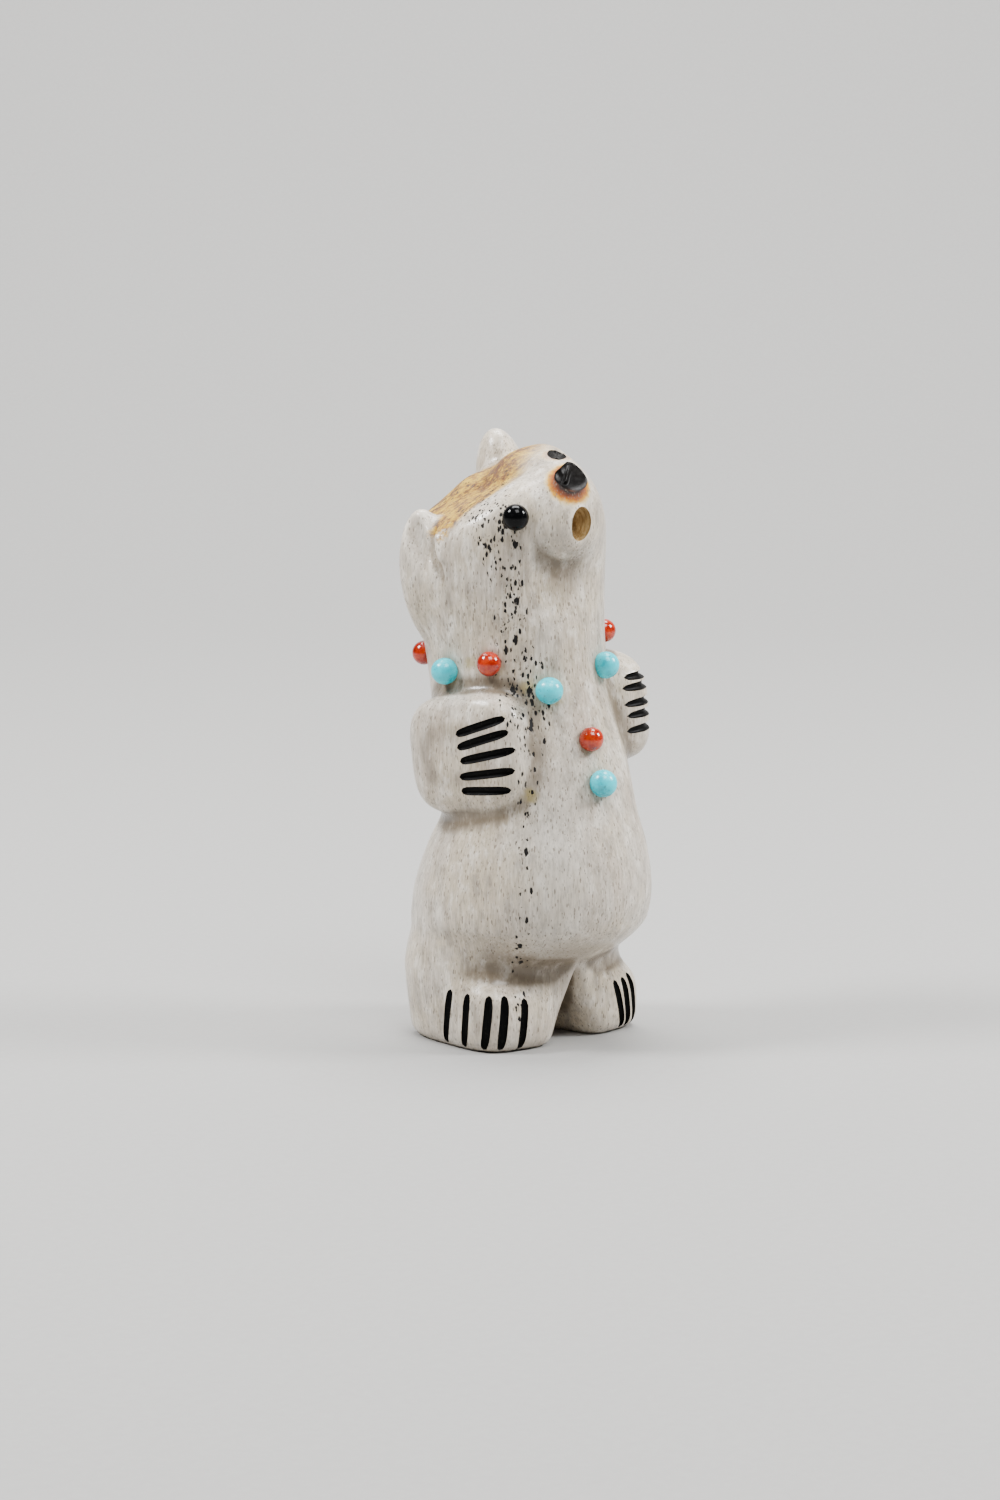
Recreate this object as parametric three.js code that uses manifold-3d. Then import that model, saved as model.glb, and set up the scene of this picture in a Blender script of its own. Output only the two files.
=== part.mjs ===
// A small standing bear carved from one piece of antler. It lifts its head and sings. Its eyes are
// jet beads, and it wears a necklace of coral and turquoise beads glued into shallow sockets.
// Millimetres, +Z up. The bear stands on z = 0 and faces -Y, so its right side is -X.
import * as THREE from "three";
import { mergeVertices } from "three/addons/utils/BufferGeometryUtils.js";
import Module from "manifold-3d";

const wasm = await Module();
wasm.setup();

// Driving sizes
const figureHeight = 76;
const jetDiameter = 3.3;
const jetSink = 1.1;
const coralDiameter = 3.05;
const coralSink = 0.85;
const turquoiseDiameter = 3.4;
const turquoiseSink = 0.9;
const settingGap = 0.25;
const clawWidth = 1.1;
const clawDepth = 0.45;
const mouthSize = [3.1, 4.3, 3.2];
const rightNostrilSize = [5.2, 5.8, 1.6];
const leftNostrilSize = [2.4, 2.0, 2.0];

// The form is laid out in parts, a seventy-fourth of the height each, as a carver divides a block.
const partsInHeight = 74;
const part = figureHeight / partsInHeight;
const skinCell = 2.05;

const { clamp, degToRad } = THREE.MathUtils;

// Blending of forms
function joined(a, b, softness) {
  const overlap = Math.max(softness - Math.abs(a - b), 0) / softness;
  return Math.min(a, b) - (overlap * overlap * softness) / 4;
}

function trimmed(a, b, softness) {
  return -joined(-a, -b, softness);
}

function carved(a, b, softness) {
  return trimmed(a, -b, softness);
}

// Single forms. Each gives a point's distance from its surface, negative inside.
function posed(shape, centre, turns = [0, 0, 0]) {
  const euler = new THREE.Euler(...turns.map(degToRad), "ZYX");
  const m = new THREE.Matrix4().makeRotationFromEuler(euler).elements;
  return (x, y, z) => {
    const dx = x - centre[0];
    const dy = y - centre[1];
    const dz = z - centre[2];
    return shape(
      dx * m[0] + dy * m[1] + dz * m[2],
      dx * m[4] + dy * m[5] + dz * m[6],
      dx * m[8] + dy * m[9] + dz * m[10],
    );
  };
}

// The power rounds the form: 2 makes an egg, and more makes a pillow.
function egg(centre, half, turns, power = 2) {
  const least = 1e-3;
  const shape = (...local) => {
    const shares = local.map((value, k) => Math.abs(value) / half[k]);
    const near = Math.max(shares.reduce((sum, v) => sum + v ** power, 0) ** (1 / power), least);
    const slope = Math.hypot(...shares.map((v, k) => (v / near) ** (power - 1) / half[k]));
    return (near - 1) / Math.max(slope, least);
  };
  return posed(shape, centre, turns);
}

// A smooth reading between rows that each start with a height: gives the row's other values.
function smoothly(rows) {
  const last = rows.length - 1;
  const slopes = rows.map((row, k) => {
    const before = rows[Math.max(k - 1, 0)];
    const after = rows[Math.min(k + 1, last)];
    return row.map((_, column) => (after[column] - before[column]) / (after[0] - before[0]));
  });
  return (height, column) => {
    let i = 0;
    while (i < last - 1 && rows[i + 1][0] < height) i++;
    const span = rows[i + 1][0] - rows[i][0];
    const t = clamp((height - rows[i][0]) / span, 0, 1);
    return (
      rows[i][column] * (1 + 2 * t) * (1 - t) ** 2 +
      slopes[i][column] * span * t * (1 - t) ** 2 +
      rows[i + 1][column] * t * t * (3 - 2 * t) +
      slopes[i + 1][column] * span * t * t * (t - 1)
    );
  };
}

// The trunk: oval sections up the antler. Each row is a height, the half width, the half depth,
// and how far the middle of the section lies behind the middle of the feet.
const trunkSections = [
  [-4, 11.8, 10.5, 2.6],
  [9.5, 12.0, 11.3, 2.7],
  [11.5, 12.9, 12.7, 1.6],
  [13.2, 13.5, 13.9, 0.6],
  [15, 14.2, 14.9, 0.1],
  [19, 14.1, 15.0, -0.6],
  [24, 13.2, 13.6, -1.3],
  [28, 12.0, 12.0, -1.7],
  [34, 11.5, 11.5, -0.7],
  [40, 11.2, 11.3, 1.0],
  [45, 10.9, 11.1, 2.1],
  [50, 11.2, 11.4, 3.0],
  [56, 12.2, 12.5, 4.5],
  [61, 12.3, 12.7, 4.5],
  [65, 12.0, 12.3, 4.3],
  [68, 11.1, 11.3, 4.2],
  [70.3, 9.5, 9.5, 4.2],
  [72.2, 7.2, 7.2, 4.2],
  [74, 4, 4, 4.2],
];
const trunkAt = smoothly(trunkSections);
const trunkBack = (height) => trunkAt(height, 3);

function trunk(x, y, z) {
  const halfWidth = trunkAt(z, 1);
  const halfDepth = trunkAt(z, 2);
  const reach = Math.hypot(x / halfWidth, (y - trunkBack(z)) / halfDepth);
  return (reach - 1) * Math.min(halfWidth, halfDepth);
}

// The crown: the head is cut off by a plane that rises towards the left ear and the nose.
const crownHeight = 70.3;
const crownRiseLeft = 0.52;
const crownFallBack = 0.29;
const crownEdge = 3.2;

function crown(x, y, z) {
  const above = z - crownHeight - crownRiseLeft * x + crownFallBack * y;
  return above / Math.hypot(1, crownRiseLeft, crownFallBack);
}

// The snout's top is cut off a second time, by a plane that falls towards the left and the front.
const snoutFacing = [0.585, -0.461, 0.664];
const snoutReach = crownHeight * snoutFacing[2] + 4.18;
const snoutEdge = 2.4;

function snoutTop(x, y, z) {
  return x * snoutFacing[0] + y * snoutFacing[1] + z * snoutFacing[2] - snoutReach;
}

// Head forms, placed by how far they lie below the crown
const muzzle = egg([0.5, -4.4, crownHeight - 5.3], [5.2, 5.2, 7.6]);
const throat = egg([-3.0, -10.4, crownHeight - 13.2], [5.0, 2.8, 4.0], [0, 0, -20]);
const chin = egg([-1.1, -5.5, crownHeight - 6.9], [4.7, 4.7, 4.7]);

// Each ear is a petal with a shallow scoop in its face.
const ears = [
  {
    petal: egg([-9.4, 8.3, crownHeight - 13.4], [3.3, 2.5, 8.0], [0, -6, -45]),
    scoop: egg([-12.3, 5.6, crownHeight - 9.9], [0.8, 1.7, 4.6], [-26, 19, 17]),
  },
  {
    petal: egg([7.3, 12.6, crownHeight - 4.4], [3.8, 2.5, 8.2], [0, 4, 71]),
    scoop: egg([10.4, 11.4, crownHeight - 4.2], [0.8, 1.7, 4.2], [0, -10, -19]),
  },
];

// Arms, haunches and feet
const arms = [
  egg([-9.6, 0.0, 35.9], [3.9, 8.3, 7.3], [-8, 0, 8], 3.4),
  egg([10.9, 0.4, 40.0], [4.0, 9.2, 7.0], [0, -6, -8], 3.4),
];
const haunches = [-1, 1].map((side) => egg([side * 6.4, 3.2, 8.5], [7.4, 9.6, 7.5]));
const feet = [
  egg([-7.2, 1.3, 3.6], [6.3, 9.7, 5.4], [0, 0, -8], 3.2),
  egg([6.8, 1.3, 3.6], [6.1, 9.7, 5.4], [0, 0, 8], 3.2),
];

// The gap between the legs narrows upwards and towards the back.
const gapHalfWidth = 3.7;
const gapHeight = 8.8;
const gapTaper = 0.12;
const gapFront = -8;

function legGap(x, y, z) {
  const room = gapHalfWidth * (1 - z / gapHeight) - (y - gapFront) * gapTaper;
  return (Math.abs(x) - room) / Math.hypot(1, gapHalfWidth / gapHeight);
}

// The whole bear, in parts, and the room that holds it
const solesBelow = 0.3;
const roomAside = 17.1;
const roomBefore = 19.6;
const roomBehind = 20;
const roomAbove = 5;
const roomLow = [-roomAside, -roomBefore, -2];
const roomHigh = [roomAside, roomBehind, partsInHeight + roomAbove];

function bear(x, y, z) {
  let form = trunk(x, y, z);
  form = joined(form, muzzle(x, y, z), 2.4);
  form = carved(form, throat(x, y, z), 3.5);
  form = joined(form, chin(x, y, z), 1.0);
  form = trimmed(form, crown(x, y, z), crownEdge);
  form = trimmed(form, snoutTop(x, y, z), snoutEdge);
  for (const { petal, scoop } of ears) {
    form = joined(form, petal(x, y, z), 1.6);
    form = carved(form, scoop(x, y, z), 1.0);
  }
  for (const arm of arms) form = joined(form, arm(x, y, z), 1.4);
  for (const haunch of haunches) form = joined(form, haunch(x, y, z), 3.0);
  for (const foot of feet) form = joined(form, foot(x, y, z), 1.6);
  form = carved(form, legGap(x, y, z), 1.6);
  return trimmed(form, -solesBelow - z, 1.6);
}

// Which way the surface faces at a point, as the steepest rise of the form
const probe = 0.02;

function facingOf(form, [x, y, z]) {
  return [
    (form(x + probe, y, z) - form(x - probe, y, z)) / (2 * probe),
    (form(x, y + probe, z) - form(x, y - probe, z)) / (2 * probe),
    (form(x, y, z + probe) - form(x, y, z - probe)) / (2 * probe),
  ];
}

function positionsOnly(geometry) {
  geometry.deleteAttribute("normal");
  geometry.deleteAttribute("uv");
  return mergeVertices(geometry, 1e-4);
}

// The skin: one net knot in each cell of a grid that the surface runs through, joined to the knots
// of the cells beside it, then drawn tight and even over the form.
const tightenRounds = 14;
const slideShare = 0.5;

function netOver(form, low, high, cell) {
  const [nx, ny, nz] = low.map((l, k) => Math.ceil((high[k] - l) / cell) + 1);
  const steps = [ny * nz, nz, 1];
  const spot = (n) => [
    low[0] + cell * Math.floor(n / steps[0]),
    low[1] + cell * (Math.floor(n / nz) % ny),
    low[2] + cell * (n % nz),
  ];
  const values = Float64Array.from({ length: nx * ny * nz }, (_, n) => form(...spot(n)));
  const crosses = (n, m) => values[n] < 0 !== values[m] < 0;
  const knots = [];
  const knotOf = new Map();
  for (let n = 0; n < values.length - steps[0] - steps[1] - 1; n++) {
    const sum = [0, 0, 0, 0];
    steps.forEach((step, k) => {
      const [one, two] = steps.filter((_, other) => other !== k);
      for (const start of [n, n + one, n + two, n + one + two]) {
        if (!crosses(start, start + step)) continue;
        const share = values[start] / (values[start] - values[start + step]);
        const point = spot(start);
        point[k] += share * cell;
        for (let c = 0; c < 3; c++) sum[c] += point[c];
        sum[3] += 1;
      }
    });
    if (sum[3] === 0) continue;
    knotOf.set(n, knots.length);
    knots.push([sum[0] / sum[3], sum[1] / sum[3], sum[2] / sum[3]]);
  }
  const meshes = [];
  for (const n of knotOf.keys()) {
    steps.forEach((step, k) => {
      if (!crosses(n, n + step)) return;
      const [one, two] = [steps[(k + 1) % 3], steps[(k + 2) % 3]];
      const round = [n, n - one, n - one - two, n - two].map((m) => knotOf.get(m));
      meshes.push(values[n] < 0 ? round : round.reverse());
    });
  }
  return { knots, meshes };
}

function tighten(form, knots, meshes) {
  const beside = knots.map(() => new Set());
  for (const round of meshes) {
    round.forEach((knot, i) => beside[knot].add(round[(i + 1) % 4]).add(round[(i + 3) % 4]));
  }
  for (let round = 0; round < tightenRounds; round++) {
    const before = knots.map((knot) => [...knot]);
    knots.forEach((knot, i) => {
      const slope = facingOf(form, knot);
      const steep = slope[0] ** 2 + slope[1] ** 2 + slope[2] ** 2;
      const off = form(...knot) / steep;
      const pull = [0, 0, 0];
      for (const j of beside[i]) {
        for (let k = 0; k < 3; k++) pull[k] += (before[j][k] - knot[k]) / beside[i].size;
      }
      const rise = (pull[0] * slope[0] + pull[1] * slope[1] + pull[2] * slope[2]) / steep;
      const slide = round < tightenRounds - 2 ? slideShare : 0;
      for (let k = 0; k < 3; k++) {
        knot[k] += slide * (pull[k] - rise * slope[k]) - clamp(off, -0.5, 0.5) * slope[k];
      }
    });
  }
}

function skinOver(form, low, high, cell) {
  const { knots, meshes } = netOver(form, low, high, cell);
  tighten(form, knots, meshes);
  const length = (i, j) => Math.hypot(...[0, 1, 2].map((k) => knots[i][k] - knots[j][k]));
  const faces = meshes.flatMap(([a, b, c, d]) =>
    length(a, c) < length(b, d) ? [a, b, c, a, c, d] : [b, c, d, b, d, a],
  );
  const geometry = new THREE.BufferGeometry().setIndex(faces);
  geometry.setAttribute("position", new THREE.Float32BufferAttribute(knots.flat(), 3));
  return geometry.scale(part, part, part);
}

// Solids for joining and cutting
function solidOf(geometry) {
  return new wasm.Manifold(
    new wasm.Mesh({
      numProp: 3,
      vertProperties: new Float32Array(geometry.attributes.position.array),
      triVerts: new Uint32Array(geometry.index.array),
    }),
  );
}

function geometryOf(solid) {
  const mesh = solid.getMesh();
  return new THREE.BufferGeometry()
    .setAttribute("position", new THREE.BufferAttribute(mesh.vertProperties, 3))
    .setIndex(new THREE.BufferAttribute(mesh.triVerts, 1));
}

// A point on the skin, found from outside along a level direction away from an upright axis.
// The angle is counted from the front, and grows towards the bear's left.
function onSkin(axis, angle, height) {
  const out = [Math.sin(degToRad(angle)), -Math.cos(degToRad(angle)), 0];
  const at = (reach) => [axis[0] + out[0] * reach, axis[1] + out[1] * reach, height];
  const stepIn = 0.1;
  let reach = 24;
  while (bear(...at(reach)) > 0 && reach > 0) reach -= stepIn;
  const point = at(reach + stepIn / 2);
  return {
    point: new THREE.Vector3(...point),
    out: new THREE.Vector3(...facingOf(bear, point)).normalize(),
  };
}

// Beads: what each is made of, and where it sits, by angle round the neck and height in parts
const necklace = [
  ["bead_front_coral", "coral", -5.9, 37.5],
  ["pendant_turquoise", "turquoise", -4.2, 32.3],
  ["bead_right_1", "turquoise", -27.3, 43.5],
  ["bead_right_2", "coral", -61.1, 46.8],
  ["bead_right_3", "turquoise", -93.4, 45.6],
  ["bead_right_4", "coral", -148, 46.8],
  ["bead_left_1", "turquoise", 21, 45.9],
  ["bead_left_2", "coral", 64, 49.3],
  ["bead_left_3", "turquoise", 103, 49.3],
  ["bead_left_4", "coral", 141, 48.8],
  ["bead_back_turquoise", "turquoise", 177, 47.8],
];
const eyePlaces = [
  ["eye_right", -39, crownHeight - 6.0],
  ["eye_left", 88, crownHeight - 4.2],
];

const coats = {
  antler: { color: "#cbc5ba", roughness: 0.38, metalness: 0 },
  jet: { color: "#0c0b0b", roughness: 0.12, metalness: 0 },
  coral: { color: "#c2502c", roughness: 0.3, metalness: 0 },
  turquoise: { color: "#8ed2d6", roughness: 0.4, metalness: 0 },
};

const ballSides = 10;
const ballRings = 7;

function ball(diameter, place) {
  const geometry = new THREE.SphereGeometry(diameter / 2, ballSides, ballRings);
  return positionsOnly(geometry).translate(place.x, place.y, place.z);
}

function seat({ point, out }, diameter, sink) {
  return point.clone().multiplyScalar(part).addScaledVector(out, diameter / 2 - sink);
}

// A claw stroke: a square bar bent along the skin from one place to another, half sunk in it, and
// narrowing to its ends
const strokeSpans = 4;
const strokeNarrowing = 0.92;

function claw(axis, from, to) {
  const stops = Array.from({ length: strokeSpans + 1 }, (_, i) => {
    const t = i / strokeSpans;
    return onSkin(axis, from[0] + (to[0] - from[0]) * t, from[1] + (to[1] - from[1]) * t);
  });
  const path = new THREE.CatmullRomCurve3(
    stops.map((stop) => stop.point.clone().multiplyScalar(part)),
  );
  const bar = positionsOnly(new THREE.BoxGeometry(1, 2, 2, 1, strokeSpans, 1));
  const place = bar.attributes.position;
  for (let i = 0; i < place.count; i++) {
    const t = (1 - place.getY(i)) / 2;
    const width = clawWidth * Math.sqrt(1 - (strokeNarrowing * place.getY(i)) ** 2);
    const along = path.getTangent(t);
    const stop = stops[Math.round(t * strokeSpans)];
    const across = stop.out.clone().cross(along).normalize();
    const point = path
      .getPoint(t)
      .addScaledVector(across, place.getX(i) * width)
      .addScaledVector(stop.out, place.getZ(i) * clawDepth);
    place.setXYZ(i, point.x, point.y, point.z);
  }
  return bar;
}

// Claw strokes: five on each hand and foot. Each fan has an upright axis, and each of its strokes
// runs between two places on the skin, given as angle round that axis and height.
const fans = [
  {
    axis: [0, 0],
    strokes: [
      [[-87, 38.4], [-58, 40.8]],
      [[-86, 36.8], [-56, 39.2]],
      [[-84, 35.2], [-52.5, 37.1]],
      [[-84.5, 33.3], [-52.5, 34.6]],
      [[-84, 31.6], [-54.5, 32.2]],
    ],
  },
  {
    axis: [0, 0],
    strokes: [
      [[80, 45.2], [46, 44.1]],
      [[80, 44.0], [43.5, 42.8]],
      [[80, 42.4], [43.5, 40.8]],
      [[80, 40.9], [44.5, 39.4]],
      [[80, 39.3], [44.5, 37.5]],
    ],
  },
  {
    axis: [-7.3, 1.4],
    strokes: [
      [[-76.5, 7.3], [-87, 0.7]],
      [[-55.5, 7.1], [-59, 0.7]],
      [[-37, 7.1], [-41, 0.7]],
      [[-25.5, 7.1], [-29, 0.7]],
      [[-9.5, 6.6], [-13, 0.7]],
    ],
  },
  {
    axis: [7.3, 1.4],
    strokes: [
      [[-4, 6.7], [6, 0.7]],
      [[6.5, 6.8], [13, 0.7]],
      [[15.5, 7.1], [22, 0.7]],
      [[34, 7.1], [40, 0.7]],
      [[55, 7.1], [62, 0.7]],
    ],
  },
];
const strokeCutters = fans.flatMap(({ axis, strokes }) =>
  strokes.map(([from, to]) => claw(axis, from, to)),
);

// Hollows: the mouth and the two nostrils, as eggs that face out of the skin. The left nostril
// is found from above, and opens towards the front and the right.
function onTop(x, y) {
  const stepDown = 0.1;
  let height = roomHigh[2];
  while (bear(x, y, height) > 0 && height > 0) height -= stepDown;
  return new THREE.Vector3(x, y, height + stepDown / 2);
}

const openForwards = new THREE.Vector3(-0.7, -0.7, 0.13).normalize();
const faceHollows = [
  { place: onSkin([0, 0], -7.5, crownHeight - 6.7), size: mouthSize, roll: -14 },
  { place: onSkin([0, 0], -9, crownHeight - 1.6), size: rightNostrilSize, roll: 0 },
  { place: { point: onTop(2.5, -2.1), out: openForwards }, size: leftNostrilSize, roll: 0 },
];

function hollow({ place, size: [width, height, depth], roll }) {
  const geometry = positionsOnly(new THREE.SphereGeometry(1, 10, 6));
  geometry.scale(width / 2, height / 2, depth).rotateZ(degToRad(roll));
  const up = new THREE.Vector3(0, 0, 1);
  const turn = new THREE.Matrix4().lookAt(place.out, new THREE.Vector3(), up);
  const centre = place.point.clone().multiplyScalar(part);
  return geometry.applyMatrix4(turn).translate(centre.x, centre.y, centre.z);
}

function bearSolid() {
  const wide = 4 * figureHeight;
  const ground = new THREE.BoxGeometry(wide, wide, wide).translate(0, 0, -wide / 2);
  const skin = skinOver(bear, roomLow, roomHigh, skinCell);
  const sockets = settings.map((setting) => setting.socket);
  let solid = solidOf(skin).subtract(solidOf(positionsOnly(ground)));
  for (const cutter of [...sockets, ...strokeCutters, ...faceHollows.map(hollow)]) {
    solid = solid.subtract(solidOf(cutter));
  }
  return solid;
}

// Settings: every ball with its size, its place and the socket that is drilled for it
const cuts = {
  jet: { diameter: jetDiameter, sink: jetSink },
  coral: { diameter: coralDiameter, sink: coralSink },
  turquoise: { diameter: turquoiseDiameter, sink: turquoiseSink },
};
const settings = [
  ...necklace,
  ...eyePlaces.map(([name, angle, height]) => [name, "jet", angle, height]),
].map(([name, coat, angle, height]) => {
  const { diameter, sink } = cuts[coat];
  const place = seat(onSkin([0, trunkBack(height)], angle, height), diameter, sink);
  return { name, coat, diameter, place, socket: ball(diameter + 2 * settingGap, place) };
});

function named(name, geometry, coat) {
  geometry.computeVertexNormals();
  const mesh = new THREE.Mesh(geometry, new THREE.MeshStandardMaterial(coats[coat]));
  mesh.name = name;
  return mesh;
}

const figure = new THREE.Group();
figure.add(named("antler_bear", geometryOf(bearSolid()), "antler"));
for (const { name, coat, diameter, place } of settings) {
  figure.add(named(name, ball(diameter, place), coat));
}

// The origin is the middle of the figure's box, on the ground.
const middle = new THREE.Box3().setFromObject(figure).getCenter(new THREE.Vector3());
figure.position.set(-middle.x, -middle.y, 0);

export default figure;
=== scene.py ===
"""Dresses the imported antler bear: carved skin, claw strokes, eyes, beads, finishes and stage."""

import math

import bmesh
import bpy
import numpy as np
from bpy.props import FloatProperty, FloatVectorProperty, PointerProperty
from mathutils import Euler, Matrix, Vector


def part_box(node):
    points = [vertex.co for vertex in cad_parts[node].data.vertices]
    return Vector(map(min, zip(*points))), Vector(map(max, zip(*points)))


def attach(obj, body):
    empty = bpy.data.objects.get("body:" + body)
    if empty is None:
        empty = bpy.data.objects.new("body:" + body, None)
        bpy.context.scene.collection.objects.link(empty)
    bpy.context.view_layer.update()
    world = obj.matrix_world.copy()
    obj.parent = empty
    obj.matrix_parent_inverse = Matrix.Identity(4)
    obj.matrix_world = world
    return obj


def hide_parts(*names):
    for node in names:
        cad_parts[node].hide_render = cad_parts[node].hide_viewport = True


bl_info = {
    "name": "Antler bear",
    "version": (1, 0, 0),
    "blender": (4, 5, 0),
    "location": "View3D > Sidebar > Antler bear",
    "description": "Models a small carved antler bear with a bead necklace, and its stage",
    "category": "Object",
}

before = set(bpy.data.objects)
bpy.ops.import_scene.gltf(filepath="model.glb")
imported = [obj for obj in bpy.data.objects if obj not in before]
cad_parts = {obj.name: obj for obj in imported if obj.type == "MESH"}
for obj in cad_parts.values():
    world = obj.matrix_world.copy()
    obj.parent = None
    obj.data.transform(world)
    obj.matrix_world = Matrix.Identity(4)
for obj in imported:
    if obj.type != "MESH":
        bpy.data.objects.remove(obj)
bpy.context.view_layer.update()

# The carved form is laid out in parts, a seventy-fourth of the figure's height each.
PARTS_IN_HEIGHT = 74.0
BODY_LOW, BODY_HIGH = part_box("antler_bear")
PART = (BODY_HIGH.z - BODY_LOW.z) / PARTS_IN_HEIGHT
MM = 0.001

BEADS = {
    "coral": ["bead_front_coral", "bead_right_2", "bead_right_4", "bead_left_2", "bead_left_4"],
    "turquoise": [
        "pendant_turquoise", "bead_right_1", "bead_right_3",
        "bead_left_1", "bead_left_3", "bead_back_turquoise",
    ],
}
EYES = ["eye_right", "eye_left"]


# Blending of forms. A form gives each point's distance from its surface, negative inside.
def joined(a, b, softness):
    overlap = np.maximum(softness - np.abs(a - b), 0) / softness
    return np.minimum(a, b) - overlap * overlap * softness / 4


def trimmed(a, b, softness):
    return -joined(-a, -b, softness)


def carved(a, b, softness):
    return trimmed(a, -b, softness)


def turned(points, centre, turns=(0, 0, 0)):
    """The points as seen from a form with this centre and these turns in degrees."""
    matrix = np.array(Euler([math.radians(t) for t in turns], "XYZ").to_matrix())
    return (points - np.array(centre)) @ matrix


def egg(points, centre, half, turns=(0, 0, 0), power=2.0):
    """An egg, or a pillow where the power is more than 2."""
    local = np.abs(turned(points, centre, turns)) / half
    near = np.maximum((local**power).sum(1) ** (1 / power), 1e-3)
    slope = np.linalg.norm((local / near[:, None]) ** (power - 1) / half, axis=1)
    return (near - 1) / np.maximum(slope, 1e-3)


def scoop(points, centre, half, along, out):
    """A long hollow or rib that faces outwards: its half width, depth and half length."""
    along = np.array(along) / np.linalg.norm(along)
    out = out - np.dot(out, along) * along
    out /= np.linalg.norm(out)
    turn = np.stack([np.cross(along, out), out, along], 1)
    return egg((points - np.array(centre)) @ turn, (0, 0, 0), half)


# The trunk: oval sections up the antler. Each row is a height, the half width, the half depth,
# and how far the middle of the section lies behind the middle of the feet.
TRUNK_SECTIONS = np.array(
    [
        [-4, 11.8, 10.5, 2.6],
        [9.5, 12.0, 11.3, 2.7],
        [11.5, 12.9, 12.7, 1.6],
        [13.2, 13.5, 13.9, 0.6],
        [15, 14.2, 14.9, 0.1],
        [19, 14.1, 15.0, -0.6],
        [24, 13.2, 13.6, -1.3],
        [28, 12.0, 12.0, -1.7],
        [34, 11.5, 11.5, -0.7],
        [40, 11.2, 11.3, 1.0],
        [45, 10.9, 11.1, 2.1],
        [50, 11.2, 11.4, 3.0],
        [56, 12.2, 12.5, 4.5],
        [61, 12.3, 12.7, 4.5],
        [65, 12.0, 12.3, 4.3],
        [68, 11.1, 11.3, 4.2],
        [70.3, 9.5, 9.5, 4.2],
        [72.2, 7.2, 7.2, 4.2],
        [74, 4, 4, 4.2],
    ]
)
CROWN_HEIGHT = 70.3
CROWN_RISE_LEFT = 0.52
CROWN_FALL_BACK = 0.29


def trunk_at(height):
    """The trunk's half width, half depth and middle at each height, read smoothly."""
    rows = TRUNK_SECTIONS
    heights = rows[:, 0]
    padded = np.vstack([rows[:1], rows, rows[-1:]])
    slopes = (padded[2:] - padded[:-2]) / (padded[2:, :1] - padded[:-2, :1])
    i = np.clip(np.searchsorted(heights, height, side="right") - 1, 0, len(rows) - 2)
    span = (heights[i + 1] - heights[i])[:, None]
    t = np.clip((height - heights[i])[:, None] / span, 0, 1)
    value = rows[i] * (1 + 2 * t) * (1 - t) ** 2 + slopes[i] * span * t * (1 - t) ** 2
    value += rows[i + 1] * t * t * (3 - 2 * t) + slopes[i + 1] * span * t * t * (t - 1)
    return value[:, 1:]


def trunk(points):
    half_width, half_depth, back = trunk_at(points[:, 2]).T
    reach = np.hypot(points[:, 0] / half_width, (points[:, 1] - back) / half_depth)
    return (reach - 1) * np.minimum(half_width, half_depth)


def crown(points):
    x, y, z = points.T
    above = z - CROWN_HEIGHT - CROWN_RISE_LEFT * x + CROWN_FALL_BACK * y
    return above / math.hypot(1, CROWN_RISE_LEFT, CROWN_FALL_BACK)


def leg_gap(points, half_width=3.7, height=8.8, taper=0.12, front=-8.0):
    x, y, z = points.T
    room = half_width * (1 - z / height) - (y - front) * taper
    return (np.abs(x) - room) / math.hypot(1, half_width / height)


# The snout's top is cut off a second time, towards the left and the front.
SNOUT_FACING = np.array([0.585, -0.461, 0.664])
SNOUT_REACH = CROWN_HEIGHT * SNOUT_FACING[2] + 4.18

# The other forms: each has its centre, its half sizes, its turns and, for a pillow, its power.
MUZZLE = ([0.5, -4.4, CROWN_HEIGHT - 5.3], [5.2, 5.2, 7.6])
# Low swellings on the crown and the snout, each with the softness of its join
SWELLINGS = [
    ([1.37, 9.95, 64.93], [3.02, 3.02, 3.43], 2.5),
    ([2.85, 2.80, 68.74], [4.06, 4.06, 3.10], 3.0),
    ([0.75, -2.45, 68.84], [2.80, 2.80, 2.80], 1.8),
    ([2.14, -3.27, 66.31], [3.08, 3.08, 3.07], 2.5),
]
CHIN = ([-1.1, -5.5, CROWN_HEIGHT - 6.9], [4.7, 4.7, 4.7])
THROAT = ([-3.0, -10.4, CROWN_HEIGHT - 13.2], [5.0, 2.8, 4.0], [0, 0, -20])
# Each ear is a petal, with long hollows and thin ribs that have a centre, half sizes, a run and
# a facing.
EARS = [
    {
        "petal": ([-9.4, 8.3, CROWN_HEIGHT - 13.4], [3.3, 2.5, 8.0], [0, -6, -45]),
        "scoops": [
            ([-12.0, 7.6, 60.9], [1.35, 0.95, 4.5], [0.11, 0.50, 0.86], [-0.88, -0.32, 0.35]),
            ([-11.75, 4.3, 59.3], [0.85, 0.62, 4.0], [0.20, 0.395, 0.897], [-0.97, 0.1, 0.2]),
        ],
        "ribs": [
            ([-11.45, 5.7, 58.6], [0.42, 0.42, 2.4], [0.27, 0.58, 0.77], [-0.95, 0.1, 0.14]),
            ([-12.0, 3.5, 60.7], [0.42, 0.36, 2.1], [0.23, 0.42, 0.88], [-0.95, 0.05, 0.2]),
        ],
    },
    {
        "petal": ([7.7, 12.2, CROWN_HEIGHT - 4.4], [3.9, 3.3, 8.2], [-7.2, 7.5, 71.3]),
        "scoops": [
            ([10.4, 11.4, 66.1], [1.5, 0.9, 4.2], [-0.17, 0.0, 0.98], [0.93, -0.33, 0.16]),
        ],
        "ribs": [],
    },
]
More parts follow.
